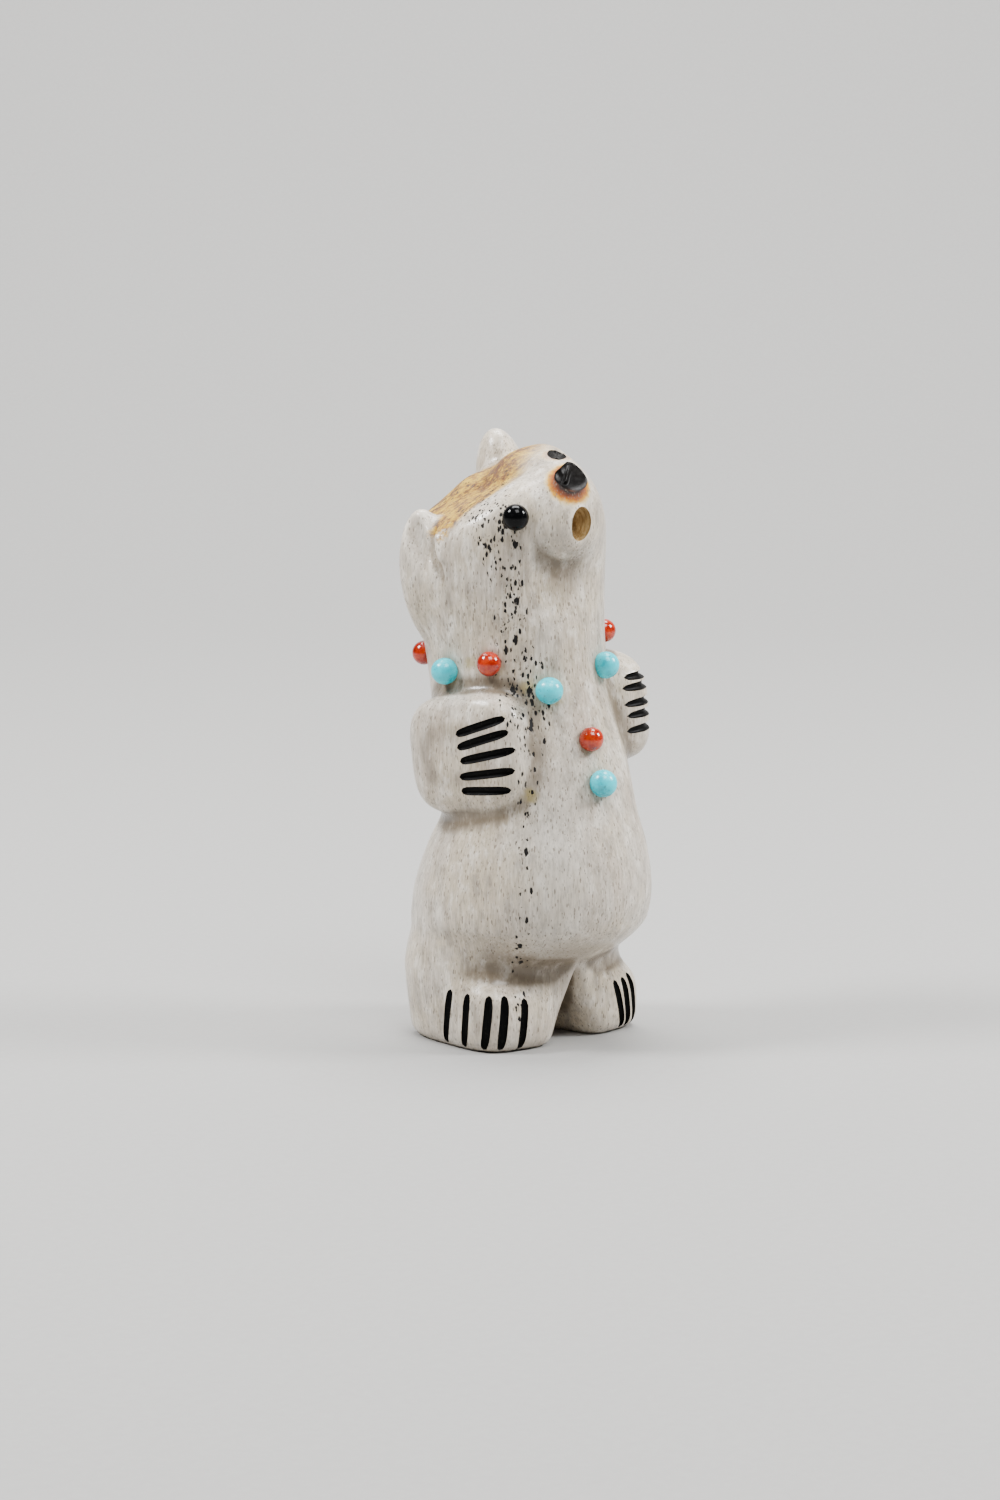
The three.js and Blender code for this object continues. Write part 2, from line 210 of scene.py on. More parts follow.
ARMS = [
    ([-9.6, 0.0, 35.9], [3.9, 8.3, 7.3], [-8, 0, 8], 3.4),
    ([10.9, 0.4, 40.0], [4.0, 9.2, 7.0], [0, -6, -8], 3.4),
]
HAUNCHES = [([side * 6.4, 3.2, 8.5], [7.4, 9.6, 7.5]) for side in (-1, 1)]
FEET = [
    ([-7.2, 1.3, 3.6], [6.3, 9.7, 5.4], [0, 0, -8], 3.2),
    ([6.8, 1.3, 3.6], [6.1, 9.7, 5.4], [0, 0, 8], 3.2),
]
SOLES_BELOW = 0.3

# How softly each form joins the ones before it, or is cut out of them
SOFT = {"muzzle": 2.4, "throat": 3.5, "chin": 1.0, "crown": 3.2, "snout": 2.4}
SOFT |= {"ear": 1.4, "ear_hollow": 0.6, "ear_rib": 0.5, "arm": 1.4, "haunch": 3.0, "foot": 1.6}
SOFT |= {"leg_gap": 1.6, "soles": 1.6}


def bear_form(points):
    """The whole bear as one form, in parts."""
    form = joined(trunk(points), egg(points, *MUZZLE), SOFT["muzzle"])
    form = carved(form, egg(points, *THROAT), SOFT["throat"])
    form = joined(form, egg(points, *CHIN), SOFT["chin"])
    form = trimmed(form, crown(points), SOFT["crown"])
    form = trimmed(form, points @ SNOUT_FACING - SNOUT_REACH, SOFT["snout"])
    for centre, half, softness in SWELLINGS:
        form = joined(form, egg(points, centre, half), softness)
    for ear in EARS:
        form = joined(form, egg(points, *ear["petal"]), SOFT["ear"])
        for hollow in ear["scoops"]:
            form = carved(form, scoop(points, *hollow), SOFT["ear_hollow"])
        for rib in ear["ribs"]:
            form = joined(form, scoop(points, *rib), SOFT["ear_rib"])
    for name, limbs in (("arm", ARMS), ("haunch", HAUNCHES), ("foot", FEET)):
        for limb in limbs:
            form = joined(form, egg(points, *limb), SOFT[name])
    form = carved(form, leg_gap(points), SOFT["leg_gap"])
    return trimmed(form, -SOLES_BELOW - points[:, 2], SOFT["soles"])


def facing_of(form, points, probe=0.02):
    """Which way the surface faces at each point, as the form's steepest rise."""
    steps = np.eye(3) * probe
    return np.stack([form(points + s) - form(points - s) for s in steps], 1) / (2 * probe)


def bulge_of(form, points, reach=0.9, full=0.16):
    """How strongly the surface bulges at each point: 1 on a tight edge, -1 in a tight hollow."""
    around = [form(points + step) for step in np.vstack([np.eye(3), -np.eye(3)]) * reach]
    return (np.mean(around, axis=0) - form(points)) / full


def eased(value, low, high):
    share = np.clip((value - low) / (high - low), 0, 1)
    return share * share * (3 - 2 * share)


def off_ears(points):
    """How far each point lies outside the ears."""
    return np.min([egg(points, *ear["petal"]) for ear in EARS], axis=0)


def clean_ears(points):
    """How much of the grime and painted shade in the hollows is kept: hardly any on the ears."""
    return 0.15 + 0.85 * eased(off_ears(points), 0.6, 3.0)


def barked(points):
    """Where the crown may keep its bark: not on the ears, and less towards the snout."""
    x, y = points[:, 0], points[:, 1]
    snout = 0.35 + 0.65 * eased(y - 0.3 * x, -1.5, 2.5)
    return eased(off_ears(points), 0.1, 1.1) * eased(y + 0.5 * x, -4.6, -2.8) * snout


def net_over(form, low, high, cell):
    """One knot in each cell that the surface runs through, and the four-sided meshes between."""
    low = np.array(low, float)
    count = np.ceil((np.array(high) - low) / cell).astype(int) + 1
    index = np.stack(np.meshgrid(*[np.arange(n) for n in count], indexing="ij"), -1)
    points = (low + cell * index).reshape(-1, 3)
    values = np.concatenate([form(some) for some in np.array_split(points, 24)]).reshape(count)
    total = np.zeros((*(count - 1), 3))
    number = np.zeros(count - 1)
    edges = []
    for axis in range(3):
        sides = [k for k in range(3) if k != axis]
        start, stop = [slice(None)] * 3, [slice(None)] * 3
        start[axis], stop[axis] = slice(0, -1), slice(1, None)
        a, b = values[tuple(start)], values[tuple(stop)]
        cross = (a < 0) != (b < 0)
        share = np.where(cross, a / np.where(cross, a - b, 1), 0)
        place = index[tuple(start)].astype(float)
        place[..., axis] += share
        for one in (0, 1):
            for two in (0, 1):
                region = [slice(None)] * 3
                region[sides[0]] = slice(one, one + count[sides[0]] - 1)
                region[sides[1]] = slice(two, two + count[sides[1]] - 1)
                region = tuple(region)
                total += place[region] * cross[region][..., None]
                number += cross[region]
        edges.append((axis, np.argwhere(cross), a[cross] < 0))
    has_knot = number > 0
    knot_of = np.full(has_knot.shape, -1)
    knot_of[has_knot] = np.arange(has_knot.sum())
    knots = low + cell * total[has_knot] / number[has_knot][:, None]
    meshes = []
    for axis, spots, inside_first in edges:
        one, two = np.eye(3, dtype=int)[(axis + 1) % 3], np.eye(3, dtype=int)[(axis + 2) % 3]
        corners = [spots, spots - one, spots - one - two, spots - two]
        ring = np.stack([knot_of[tuple(c.T)] for c in corners], 1)
        meshes.append(np.where(inside_first[:, None], ring, ring[:, ::-1]))
    return knots, np.concatenate(meshes)


def tighten(form, knots, meshes, rounds=8, slide=0.5, still=2, longest=0.3):
    """Draws the net tight over the form and evens its meshes out in all but the last."""
    pairs = np.concatenate([meshes[:, [i, (i + 1) % 4]] for i in range(4)])
    pairs = np.unique(np.concatenate([pairs, pairs[:, ::-1]]), axis=0)
    number = np.bincount(pairs[:, 0], minlength=len(knots))[:, None]
    for left in range(rounds, 0, -1):
        slope = facing_of(form, knots)
        steep = (slope**2).sum(1, keepdims=True)
        off = np.clip(form(knots)[:, None] / steep, -longest, longest)
        sums = [np.bincount(pairs[:, 0], knots[pairs[:, 1], k], len(knots)) for k in range(3)]
        pull = np.stack(sums, 1) / number - knots
        along = pull - (pull * slope).sum(1, keepdims=True) / steep * slope
        knots = knots + (slide if left > still else 0) * along - off * slope
    return knots


def on_skin(axis, angle, height, reach=24.0, step=0.05):
    """A point on the skin, found from outside, level, away from an upright axis, and the way the
    skin faces there. The angle counts from the front and grows towards the bear's left."""
    turn = math.radians(angle)
    reaches = np.arange(reach, 0, -step)[:, None]
    line = np.array([*axis, height]) + reaches * np.array([math.sin(turn), -math.cos(turn), 0])
    inside = bear_form(line) < 0
    point = line[np.argmax(inside)] if inside.any() else line[-1]
    out = facing_of(bear_form, point[None])[0]
    return point, out / np.linalg.norm(out)


# The carved form's own box, in parts, which is laid into the frame's box for the bear
FORM_LOW = np.array([-14.275, -15.608, 0.0])
FORM_HIGH = np.array([15.634, 17.296, 73.992])


def into_frame(corners):
    """Corners in parts, in the frame's metres."""
    low, high = np.array(BODY_LOW), np.array(BODY_HIGH)
    return low + (corners - FORM_LOW) / (FORM_HIGH - FORM_LOW) * (high - low)


# Claw strokes: a fan of five on each hand and foot, round an upright axis. Each stroke has the
# angle and the height of its start, and then of its end.
FANS = [
    {
        "axis": (0, 0),
        "strokes": [
            (-87, 38.4, -58, 40.8), (-86, 36.8, -56, 39.2), (-84, 35.2, -52.5, 37.1),
            (-84.5, 33.3, -52.5, 34.6), (-84, 31.6, -54.5, 32.2),
        ],
    },
    {
        "axis": (0, 0),
        "strokes": [
            (80, 45.2, 46, 44.1), (80, 44.0, 43.5, 42.8), (80, 42.4, 43.5, 40.8),
            (80, 40.9, 44.5, 39.4), (80, 39.3, 44.5, 37.5),
        ],
    },
    {
        "axis": (-7.3, 1.4),
        "strokes": [
            (-76.5, 7.3, -87, 0.4), (-55.5, 7.1, -59, 0.4), (-37, 7.1, -41, 0.4),
            (-25.5, 7.1, -29, 0.4), (-9.5, 6.6, -13, 0.4),
        ],
    },
    {
        "axis": (7.3, 1.4),
        "strokes": [
            (-4, 6.7, 6, 0.4), (6.5, 6.8, 13, 0.4), (15.5, 7.1, 22, 0.4),
            (34, 7.1, 40, 0.4), (55, 7.1, 62, 0.4),
        ],
    },
]


def smooth_path(points, t):
    """A smooth curve through evenly spaced points, read at shares t of its length."""
    spans = len(points) - 1
    padded = np.vstack([2 * points[0] - points[1], points, 2 * points[-1] - points[-2]])
    i = np.minimum((t * spans).astype(int), spans - 1)
    u = (t * spans - i)[:, None]
    a, b, c, d = (padded[i + k] for k in range(4))
    cubes = (3 * (b - c) + d - a) * u**3
    return 0.5 * (2 * b + (c - a) * u + (2 * a - 5 * b + 4 * c - d) * u**2 + cubes)


# Modelling steps
def only(piece):
    """Leaves one object selected and active."""
    bpy.ops.object.select_all(action="DESELECT")
    piece.select_set(True)
    bpy.context.view_layer.objects.active = piece


def added(name):
    """The primitive that was just added, under its own name."""
    piece = bpy.context.active_object
    piece.name = name
    piece.data.name = name
    return piece


def settle(piece):
    """Puts a piece's place into its mesh."""
    only(piece)
    bpy.ops.object.transform_apply(location=True, rotation=True, scale=True)


def corners_of(piece):
    flat = np.empty(len(piece.data.vertices) * 3)
    piece.data.vertices.foreach_get("co", flat)
    return flat.reshape(-1, 3)


def put_corners(piece, corners):
    piece.data.vertices.foreach_set("co", np.asarray(corners, float).ravel())
    piece.data.update()


def mesh_piece(name, corners, faces):
    mesh = bpy.data.meshes.new(name)
    mesh.from_pydata(corners.tolist(), [], faces.tolist())
    mesh.validate()
    piece = bpy.data.objects.new(name, mesh)
    bpy.context.scene.collection.objects.link(piece)
    return piece


def finish_piece(piece, node_names):
    """Hands a finished piece to the frame."""
    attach(piece, "root")
    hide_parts(*node_names)


def round_cutter(name, segments, rings):
    """A ball to be shaped into a cutter, and its corners."""
    bpy.ops.mesh.primitive_uv_sphere_add(segments=segments, ring_count=rings, radius=1)
    cutter = added(name)
    return cutter, corners_of(cutter)


def claw_bar(axis, start, end, width, depth, stops=6, nudge=0.01):
    """A bar bent along the skin from one place to another, rounded at its ends, as a cutter."""
    bar, corners = round_cutter("claw_cutter", 16, 24)
    met = [
        on_skin(axis, start[0] + (end[0] - start[0]) * t, start[1] + (end[1] - start[1]) * t)
        for t in np.linspace(0, 1, stops)
    ]
    points = np.array([point for point, _ in met])
    outs = np.array([out for _, out in met])
    x, y, z = corners.T
    t = (1 - np.clip(np.sign(z) * np.abs(np.arcsin(np.clip(z, -1, 1))) / (math.pi / 2), -1, 1)) / 2
    end_shape = np.clip(1 - np.abs(2 * t - 1) ** 5, 0, 1) ** 0.4
    girth = np.maximum(np.hypot(x, y), 1e-6)
    place = smooth_path(points, t)
    after, before = np.minimum(t + nudge, 1), np.maximum(t - nudge, 0)
    along = smooth_path(points, after) - smooth_path(points, before)
    out = smooth_path(outs, t)
    across = np.cross(along, out)
    across /= np.linalg.norm(across, axis=1, keepdims=True)
    place += across * (x / girth * end_shape * width / 2)[:, None]
    place += out * (y / girth * end_shape * depth)[:, None]
    put_corners(bar, place)
    return bar


def length_property(name, what, metres):
    return FloatProperty(name=name, description=what, default=metres, unit="LENGTH")


def angle_property(name, what, degrees):
    angle = math.radians(degrees)
    return FloatProperty(name=name, description=what, default=angle, subtype="ANGLE")


class BEAR_PG_carving(bpy.types.PropertyGroup):
    """Sizes of the carving."""

    net_cell: FloatProperty(
        name="Net cell",
        description="Size of one mesh of the skin's net, in parts of the height",
        default=0.38,
        min=0.2,
        max=2.0,
    )
    claw_width: length_property("Claw width", "Width of a claw stroke", 1.15 * MM)
    claw_depth: length_property("Claw depth", "Depth of a claw stroke", 0.45 * MM)
    mouth_size: FloatVectorProperty(
        name="Mouth",
        description="Width, height and depth of the open mouth",
        default=(3.1 * MM, 4.3 * MM, 3.2 * MM),
        unit="LENGTH",
    )


# The box that the net is cast in, in parts
NET_LOW = (-18, -19, -2)
NET_HIGH = (18, 20, 79)

# The mouth's place on the skin, as an angle and a height, and its roll in degrees
MOUTH_ANGLE = -7.5
MOUTH_HEIGHT = CROWN_HEIGHT - 6.7
MOUTH_ROLL = -14

# The burnt nostrils: bowls with their middle on the skin, and an outline and a crease drawn round
# it as they are seen from the front right, in parts to the side and up
SEEN_RIGHT = np.array([0.7071, -0.7071, 0.0])
SEEN_UP = np.array([0.0923, 0.0923, 0.9914])
SEEN_BACK = np.array([-0.7010, -0.7010, 0.1305])
NOSTRILS = [
    {
        "middle": (-1.44, -8.19, 69.15),
        "outline": [
            (-0.36, 1.99), (0.36, 1.87), (1.08, 1.33), (1.69, 0.60), (2.11, -0.36),
            (1.93, -1.08), (1.33, -1.57), (0.48, -1.81), (-0.36, -1.63), (-1.20, -1.08),
            (-1.93, -0.24), (-1.81, 0.48), (-1.20, 1.08), (-0.72, 1.63),
        ],
        "crease": ((0.06, 1.57), (-0.48, -0.24)),
        "depth": 1.0,
    },
    {
        "middle": (0.46, -4.05, 71.68),
        "outline": [
            (-1.20, -0.06), (-0.98, 0.46), (-0.44, 0.66), (0.26, 0.50), (0.82, 0.10),
            (1.20, -0.44), (0.66, -0.80), (-0.20, -0.78), (-0.82, -0.56),
        ],
        "crease": ((0.05, -0.15), (0.45, -0.60)),
        "depth": 0.8,
    },
]


def skin_towards(points, back, reach=4.0, step=0.05):
    """Where lines that run against a direction meet the skin, and how the skin faces there."""
    depths = np.arange(reach, -reach, -step)
    lines = points[:, None] + depths[:, None] * back
    inside = bear_form(lines.reshape(-1, 3)).reshape(len(points), -1) < 0
    met = lines[np.arange(len(points)), np.argmax(inside, axis=1)]
    for _ in range(2):
        slope = facing_of(bear_form, met)
        met = met - (bear_form(met) / (slope**2).sum(1))[:, None] * slope
    return met, slope / np.linalg.norm(slope, axis=1, keepdims=True)


def bowl(middle, outline, crease, depth, height=0.8, ridge=0.55, ridge_width=0.3, power=1.3):
    """A bowl under the skin with a free outline and a raised crease, as a cutter. The height is
    how far the cutter stands out of the skin, and the ridge how much of the depth it takes."""
    cutter, corners = round_cutter("bowl_cutter", 64, 40)
    x, y, z = corners.T
    outline = np.array(outline)
    turns = np.arctan2(outline[:, 1], outline[:, 0])
    reach = np.interp(np.arctan2(y, x), turns, np.hypot(*outline.T), period=2 * math.pi)
    drawn = np.stack([x * reach, y * reach], 1)
    points = np.array(middle) + drawn[:, :1] * SEEN_RIGHT + drawn[:, 1:] * SEEN_UP
    met, out = skin_towards(points, SEEN_BACK)
    start, end = np.array(crease)
    share = np.clip((drawn - start) @ (end - start) / ((end - start) ** 2).sum(), 0, 1)
    off = np.linalg.norm(drawn - start - share[:, None] * (end - start), axis=1)
    sunk = 1 - ridge * np.exp(-((off / ridge_width) ** 2))
    push = np.where(z > 0, height * z, -depth * sunk * np.abs(z) ** power)
    put_corners(cutter, met + out * push[:, None])
    return cutter


def hollow_egg(place, size, roll):
    """An egg that faces out of the skin, as a cutter for the mouth."""
    cutter, corners = round_cutter("hollow_cutter", 32, 20)
    point, out = place
    aside = np.cross([0, 0, 1], out)
    aside /= np.linalg.norm(aside)
    turn = np.stack([aside, np.cross(out, aside), out], 1)
    turn = turn @ np.array(Euler((0, 0, math.radians(roll))).to_matrix())
    half = np.array([size[0] / 2, size[1] / 2, size[2]]) / PART
    put_corners(cutter, (corners * half) @ turn.T + point)
    return cutter


def cut_away(piece, cutters, lining):
    """Cuts cutters that don't touch out of a piece, and lines the cuts with a material."""
    for cutter in cutters:
        cutter.data.materials.append(lining)
    bpy.ops.object.select_all(action="DESELECT")
    for cutter in cutters:
        cutter.select_set(True)
    bpy.context.view_layer.objects.active = cutters[0]
    bpy.ops.object.join()
    tool = bpy.context.active_object
    only(piece)
    step = piece.modifiers.new("cut", "BOOLEAN")
    step.operation = "DIFFERENCE"
    step.solver = "EXACT"
    step.material_mode = "TRANSFER"
    step.object = tool
    before = len(piece.data.polygons)
    bpy.ops.object.modifier_apply(modifier="cut")
    bpy.data.objects.remove(tool)
    if len(piece.data.polygons) < before / 2:
        raise RuntimeError(f"a {lining.name} cut took away most of {piece.name}")


def flatten_soles(piece):
    """Cuts the form off level at the ground."""
    only(piece)
    bpy.ops.object.mode_set(mode="EDIT")
    bpy.ops.mesh.select_all(action="SELECT")
    bpy.ops.mesh.bisect(
        plane_co=(0, 0, 0), plane_no=(0, 0, 1), use_fill=True, clear_inner=True, threshold=1e-5
    )
    bpy.ops.object.mode_set(mode="OBJECT")


class BEAR_OT_body(bpy.types.Operator):
    """Carve the bear's body, with its claw strokes, mouth and nostrils"""

    bl_idname = "antler_bear.body"
    bl_label = "Carve body"

    def execute(self, context):
        sizes = context.scene.bear_carving
        knots, meshes = net_over(bear_form, NET_LOW, NET_HIGH, sizes.net_cell)
        knots = tighten(bear_form, knots, meshes)
        body = mesh_piece("carved_bear", knots, meshes)
        body.data.materials.append(antler_material(context.scene.bear_finish))
        flatten_soles(body)
        cutters = []
        width, depth = sizes.claw_width / PART, sizes.claw_depth / PART
        for fan in FANS:
            for stroke in fan["strokes"]:
                cutters.append(claw_bar(fan["axis"], stroke[:2], stroke[2:], width, depth))
        mouth = on_skin((0, 0), MOUTH_ANGLE, MOUTH_HEIGHT)
        cut_away(body, cutters, ink_material())
        cut_away(body, [hollow_egg(mouth, sizes.mouth_size, MOUTH_ROLL)], mouth_material())
        burnt = burnt_material()
        for nostril in NOSTRILS:
            cut_away(body, [bowl(**nostril)], burnt)
        corners = corners_of(body)
        # The hollow mark darkens the hollows, partly grime and partly painted shade, and is kept
        # mostly off the ears; the edge mark pales tight edges, partly wear and partly painted
        # highlight.
        hollow = -bulge_of(bear_form, corners, reach=2.4)
        marks = {
            "edge": np.clip(bulge_of(bear_form, corners), 0, 1),
            "hollow": np.clip(hollow, 0, 1) * clean_ears(corners),
            "crown": np.clip(crown(corners), -6, 1),
            "barked": barked(corners),
        }
        for name, amount in marks.items():
            layer = body.data.attributes.new(name, "FLOAT", "POINT")
            layer.data.foreach_set("value", amount.astype(np.float32))
        put_corners(body, into_frame(corners))
        only(body)
        bpy.ops.object.shade_smooth_by_angle(angle=math.radians(35))
        finish_piece(body, ["antler_bear"])
        return {"FINISHED"}


def ball_like(node, name, squeeze, material, segments=40, rings=28):
    """A polished ball in a node's place, a little out of round as hand-ground beads are."""
    low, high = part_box(node)
    centre = (low + high) / 2
    radius = max(high - low) / 2
    bpy.ops.mesh.primitive_uv_sphere_add(
        segments=segments, ring_count=rings, radius=radius, location=centre
    )
    ball = added(name)
    ball.scale = squeeze
    settle(ball)
    only(ball)
    bpy.ops.object.shade_smooth()
    ball.data.materials.append(material)
    return ball


class BEAR_OT_eyes(bpy.types.Operator):
    """Make the two jet bead eyes"""

    bl_idname = "antler_bear.eyes"
    bl_label = "Make eyes"

    def execute(self, context):
        jet = jet_material(context.scene.bear_finish)
        for node in EYES:
            finish_piece(ball_like(node, node + "_bead", (1, 1, 1), jet), [node])
        return {"FINISHED"}


# The beads are a little out of round, each its own way
BEAD_SEED = 7
OUT_OF_ROUND = (-0.03, 0.02)


class BEAR_OT_beads(bpy.types.Operator):
    """Make the necklace's coral and turquoise beads"""

    bl_idname = "antler_bear.beads"
    bl_label = "Make beads"

    def execute(self, context):
        chance = np.random.default_rng(BEAD_SEED)
        finish = context.scene.bear_finish
        finishes = {"coral": coral_material(finish), "turquoise": turquoise_material(finish)}
        for slot, nodes in BEADS.items():
            for node in nodes:
                squeeze = 1 + chance.uniform(*OUT_OF_ROUND, 3)
                bead = ball_like(node, node + "_ball", squeeze, finishes[slot])
                finish_piece(bead, [node])
        return {"FINISHED"}


# Finishes
def srgb(r, g, b):
    """A colour given in 0 to 255 screen values, as a linear colour with alpha."""
    shares = (r / 255, g / 255, b / 255)
    linear = [v / 12.92 if v <= 0.04045 else ((v + 0.055) / 1.055) ** 2.4 for v in shares]
    return (*linear, 1.0)


def tinted(colour, red=1, green=1, blue=1):
    """A colour with its red, green and blue multiplied."""
    return (*(min(c * k, 1.0) for c, k in zip(colour, (red, green, blue))), 1.0)


def spot(x, y, z):
    """A place on the form, in the frame's metres."""
    return tuple(into_frame(np.array([x, y, z])))


class Tree:
    """Adds and links the nodes of a material or a group."""

    def __init__(self, tree):
        self.tree = tree

    def feed(self, socket, value):
        if isinstance(value, bpy.types.NodeSocket):
            self.tree.links.new(value, socket)
        else:
            socket.default_value = value

    def fill(self, sockets, **values):
        """Feeds sockets by their names, with underscores for spaces."""
        for name, value in values.items():
            self.feed(sockets[name.replace("_", " ")], value)

    def add(self, kind, settings=None, **inputs):
        node = self.tree.nodes.new("ShaderNode" + kind)
        for name, value in (settings or {}).items():
            setattr(node, name, value)
        self.fill(node.inputs, **inputs)
        return node

    def math(self, operation, a, b=0.0):
        node = self.add("Math", {"operation": operation})
        self.feed(node.inputs[0], a)
        self.feed(node.inputs[1], b)
        return node.outputs[0]

    def plus(self, a, b):
        return self.math("ADD", a, b)

    def minus(self, a, b):
        return self.math("SUBTRACT", a, b)

    def times(self, a, b):
        return self.math("MULTIPLY", a, b)

    def most(self, a, b):
        return self.math("MAXIMUM", a, b)

    def vector(self, operation, a, b=(0, 0, 0)):
        node = self.add("VectorMath", {"operation": operation})
        self.feed(node.inputs[0], a)
        self.feed(node.inputs[1], b)
        return node.outputs["Value" if operation in {"LENGTH", "DOT_PRODUCT"} else "Vector"]

    def between(self, value, low, high, to_low=0.0, to_high=1.0):
        """The value as a share of the way from low to high, smooth at both ends."""
        ends = {"From_Min": low, "From_Max": high, "To_Min": to_low, "To_Max": to_high}
        node = self.add("MapRange", {"interpolation_type": "SMOOTHSTEP"}, Value=value, **ends)
        return node.outputs["Result"]

    def mix(self, share, a, b):
        node = self.add("Mix", {"data_type": "RGBA"})
        for number, value in ((0, share), (6, a), (7, b)):
            self.feed(node.inputs[number], value)
        return node.outputs[2]

    def washed(self, colour, base, washes):
        """A colour under washes of a base colour, each with its share and its tint."""
        for share, tint in washes:
            colour = self.mix(share, colour, tinted(base, *tint))
        return colour

    def ramp(self, share, stops):
        node = self.add("ValToRGB", Fac=share)
        elements = node.color_ramp.elements
        while len(elements) < len(stops):
            elements.new(0.5)
        for element, (position, colour) in zip(elements, stops):
            element.position = position
            element.color = colour
        return node.outputs["Color"]

    def place(self):
        return self.add("TexCoord").outputs["Object"]

    def mark(self, name):
        """One of the marks that the carving leaves on the skin's corners."""
        return self.add("Attribute", {"attribute_name": name}).outputs["Fac"]

    def noise(self, vector, scale, detail=3.0, rough=0.55):
        node = self.add("TexNoise", Vector=vector, Scale=scale, Detail=detail, Roughness=rough)
        return node.outputs["Fac"]

    def bump(self, height, strength, distance):
        node = self.add("Bump", Height=height, Strength=strength, Distance=distance)
        return node.outputs[0]

    def group(self, build, **inputs):
        return self.add("Group", {"node_tree": shared(build)}, **inputs).outputs[0]


def new_group(name, sockets):
    """A node group with these inputs and one output, its tree and its input sockets by name."""
    group = bpy.data.node_groups.new(name, "ShaderNodeTree")
    for socket, value in sockets.items():
        kind = "NodeSocketVector" if isinstance(value, tuple) else "NodeSocketFloat"
        made = group.interface.new_socket(socket, in_out="INPUT", socket_type=kind)
        made.default_value = value
    group.interface.new_socket("Result", in_out="OUTPUT", socket_type="NodeSocketFloat")
    entry = group.nodes.new("NodeGroupInput")
    leave = group.nodes.new("NodeGroupOutput")
    return group, Tree(group), entry.outputs, leave.inputs["Result"]


def shared(build):
    """A group that is built once and used again."""
    name = build.__name__.removesuffix("_group")
    return bpy.data.node_groups.get(name) or build()


def stretched(tree, given):
    """The place in cells, with their numbers across a metre and along it as given."""
    across = given["Across"]
    cells = tree.add("CombineXYZ", X=across, Y=across, Z=given["Along"]).outputs[0]
    return tree.vector("MULTIPLY", tree.place(), cells)


def streaks_group():
    """Fine grain that runs up the antler."""
    group, tree, given, result = new_group("streaks", {"Across": 2000.0, "Along": 200.0})
    tree.feed(result, tree.noise(stretched(tree, given), 1.0, 4.0, 0.6))
    return group


def flecks_group():
    """Scattered dark flecks: how many cells hold one, and how much of its cell each fills."""
    sockets = {"Across": 1000.0, "Along": 400.0, "Share": 0.5, "Fill": 0.3}
    group, tree, given, result = new_group("flecks", sockets)
    place = stretched(tree, given)
    bent = tree.add("TexNoise", Vector=place, Scale=2.2, Detail=1.0).outputs["Color"]
    bent = tree.vector("SUBTRACT", bent, (0.5, 0.5, 0.5))
    place = tree.vector("ADD", place, tree.vector("MULTIPLY", bent, (0.5, 0.5, 0.5)))
    cells = tree.add("TexVoronoi", {"feature": "F1"}, Vector=place, Scale=1.0, Randomness=1.0)
    parts = tree.add("SeparateColor", Color=cells.outputs["Color"]).outputs
    held = tree.math("LESS_THAN", parts[0], given["Share"])
    fill = tree.times(given["Fill"], tree.plus(parts[1], 0.35))
    mask = tree.between(cells.outputs["Distance"], fill, tree.times(fill, 0.7))
    tree.feed(result, tree.times(mask, held))
    return group


def blob_group():
    """A soft patch round a centre, with a ragged edge: 1 inside and 0 outside."""
    sockets = {"Centre": (0, 0, 0), "Radii": (0.005, 0.005, 0.005), "Soft": 0.5, "Ragged": 0.3}
    group, tree, given, result = new_group("blob", sockets)
    place = tree.place()
    away = tree.vector("DIVIDE", tree.vector("SUBTRACT", place, given["Centre"]), given["Radii"])
    wave = tree.minus(tree.noise(place, 900.0, 3.0), 0.5)
    reach = tree.plus(tree.vector("LENGTH", away), tree.times(wave, given["Ragged"]))
    tree.feed(result, tree.between(reach, 1.0, tree.minus(1.0, given["Soft"])))
    return group


def patch(tree, centre, radii, soft, ragged=0.3):
    """A blob in a material. Its centre and radii are in the frame's metres."""
    return tree.group(blob_group, Centre=centre, Radii=radii, Soft=soft, Ragged=ragged)


def burn_group():
    """How far a place lies from the middle of a burnt nostril, in reaches of the burn."""
    sockets = {"Centre": (0, 0, 0), "Reach": 0.0022}
    group, tree, given, result = new_group("burn", sockets)
    place = tree.place()
    away = tree.vector("LENGTH", tree.vector("SUBTRACT", place, given["Centre"]))
    wave = tree.times(tree.minus(tree.noise(place, 1400.0), 0.5), 0.25)
    tree.feed(result, tree.plus(tree.math("DIVIDE", away, given["Reach"]), wave))
    return group


def new_material(name):
    """A material, its tree and the inputs of its shader by name."""
    material = bpy.data.materials.new(name)
    material.use_nodes = True
    return material, Tree(material.node_tree), material.node_tree.nodes["Principled BSDF"].inputs


# Where the markings lie on the form. A burn and a stain have a middle, a reach and a strength. The
# strip of pores has its middle, half width and density at a height.
BURNS = [
    ((-1.68, -8.45, 68.6), 3.0 * MM, 1.0),
    ((0.46, -4.05, 71.6), 1.9 * MM, 0.4),
]
BURN_LOW = (-2.06, -9.13, 66.72)
MOUTH_MIDDLE = (-1.58, -10.18, 63.59)
PORE_STRIP = [
    (64.0, -5.4, 1.9, 0.7),
    (61.0, -4.1, 1.5, 0.9),
    (55.5, -2.4, 1.1, 0.9),
    (50.3, -2.5, 1.1, 0.8),
    (46.0, -0.9, 1.9, 0.9),
    (42.5, -0.4, 1.9, 1.0),
    (38.0, 0.0, 1.3, 0.7),
    (32.0, -0.35, 0.9, 0.5),
    (26.0, -0.7, 0.7, 0.45),
    (12.0, -0.95, 0.9, 0.2),
]
